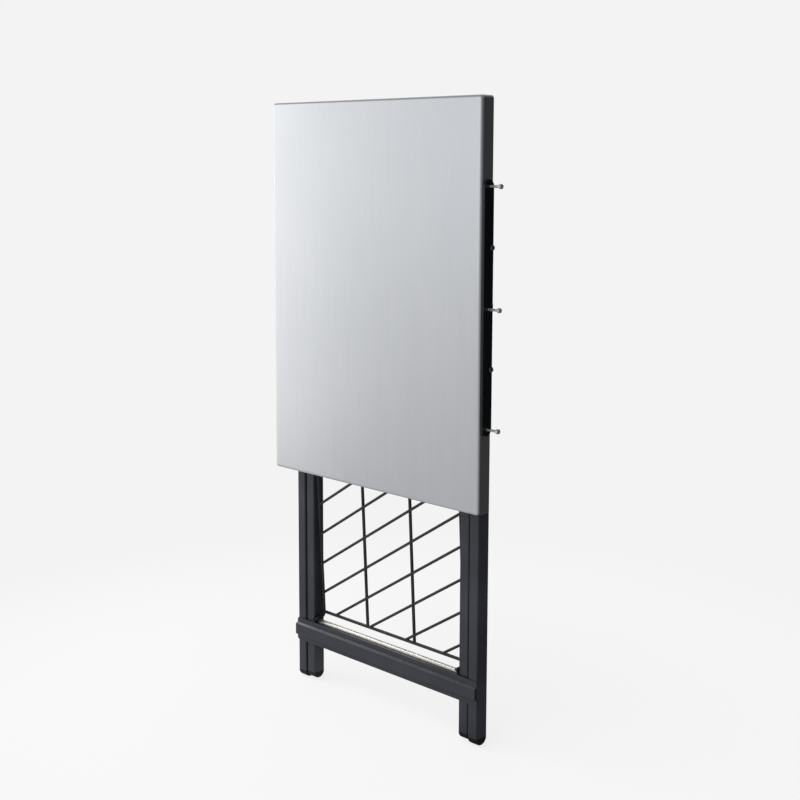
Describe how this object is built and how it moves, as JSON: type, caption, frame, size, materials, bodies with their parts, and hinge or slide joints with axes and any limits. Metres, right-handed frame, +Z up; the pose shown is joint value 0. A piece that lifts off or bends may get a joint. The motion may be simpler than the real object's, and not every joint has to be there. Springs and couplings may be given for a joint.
{
  "type": "outdoor pizza oven table",
  "caption": "Folding outdoor table with a brushed stainless top, black A-frame legs, a wire shelf and a side tool rail, standing folded.",
  "frame": {"origin": "centre of the folded table's footprint, at the underside of its outer feet", "axes": "+Z up, -Y towards the tabletop's stainless face, +X towards the tool rail"},
  "size_m": [0.636, 0.07, 1.29],
  "materials": {
    "brushed_stainless": "brushed",
    "bright_stainless": "satin",
    "black_coating": "satin powder coat",
    "black_plastic": "matte",
    "gloss_black": "glossy",
    "dark_wire": "satin",
    "zinc_hardware": "zinc plated"
  },
  "bodies": {
    "outer_frame": {"left_outer_leg": "black_coating", "right_outer_leg": "black_coating", "left_outer_foot": "black_plastic", "right_outer_foot": "black_plastic", "left_outer_end_cap": "black_plastic", "right_outer_end_cap": "black_plastic", "lower_crossbar": "black_coating", "upper_crossbar": "black_coating", "left_shelf_lug": "black_coating", "right_shelf_lug": "black_coating", "left_pivot_bolt": "zinc_hardware", "right_pivot_bolt": "zinc_hardware", "pivot_nuts": "zinc_hardware", "pivot_washers": "zinc_hardware"},
    "tabletop": {"tabletop_pan": "brushed_stainless", "left_stiffening_channel": "black_coating", "right_stiffening_channel": "black_coating", "rear_cross_channel": "black_coating", "front_cross_channel": "black_coating", "left_hinge_bracket": "black_coating", "right_hinge_bracket": "black_coating", "hinge_bracket_screws": "zinc_hardware", "left_stay_bracket": "black_coating", "right_stay_bracket": "black_coating", "left_stay_pin": "zinc_hardware", "right_stay_pin": "zinc_hardware", "tool_rail": "gloss_black", "lower_tool_peg": "bright_stainless", "middle_tool_peg": "bright_stainless", "upper_tool_peg": "bright_stainless", "rail_screws": "black_coating"},
    "inner_frame": {"left_inner_leg": "black_coating", "right_inner_leg": "black_coating", "left_inner_foot": "black_plastic", "right_inner_foot": "black_plastic", "left_inner_end_cap": "black_plastic", "right_inner_end_cap": "black_plastic", "inner_top_tube": "black_coating", "shelf_rest_rod": "bright_stainless", "left_rod_bush": "black_plastic", "right_rod_bush": "black_plastic"},
    "shelf": {"left_shelf_side_wire": "dark_wire", "right_shelf_side_wire": "dark_wire", "shelf_bottom_wire": "dark_wire", "shelf_upper_wire": "dark_wire", "shelf_long_wire_1": "dark_wire", "shelf_long_wire_2": "dark_wire", "shelf_slant_wires": "dark_wire"},
    "left_stay": {"left_hook_stay": "black_coating"},
    "right_stay": {"right_hook_stay": "black_coating"}
  },
  "joints": [
    {"name": "top_tilt", "type": "hinge", "parent": "outer_frame", "child": "tabletop", "pos_m": [0, 0.019, 0.89], "axis": [-1, 0, 0], "range_deg": [0, 65]},
    {"name": "leg_spread", "type": "hinge", "parent": "outer_frame", "child": "inner_frame", "pos_m": [0, 0.019, 0.89], "axis": [1, 0, 0], "range_deg": [0, 49.49]},
    {"name": "shelf_drop", "type": "hinge", "parent": "outer_frame", "child": "shelf", "pos_m": [0, 0.005, 0.1477], "axis": [-1, 0, 0], "range_deg": [0, 66.6]},
    {"name": "left_stay_swing", "type": "hinge", "parent": "tabletop", "child": "left_stay", "pos_m": [-0.218, -0.013, 1.02], "axis": [1, 0, 0], "range_deg": [0, 39.59]},
    {"name": "right_stay_swing", "type": "hinge", "parent": "tabletop", "child": "right_stay", "pos_m": [0.182, -0.013, 1.02], "axis": [1, 0, 0], "range_deg": [0, 39.59]}
  ],
  "couplings": [
    {"joint": "shelf_drop", "follows": "leg_spread", "ratio": 1.3435}
  ]
}
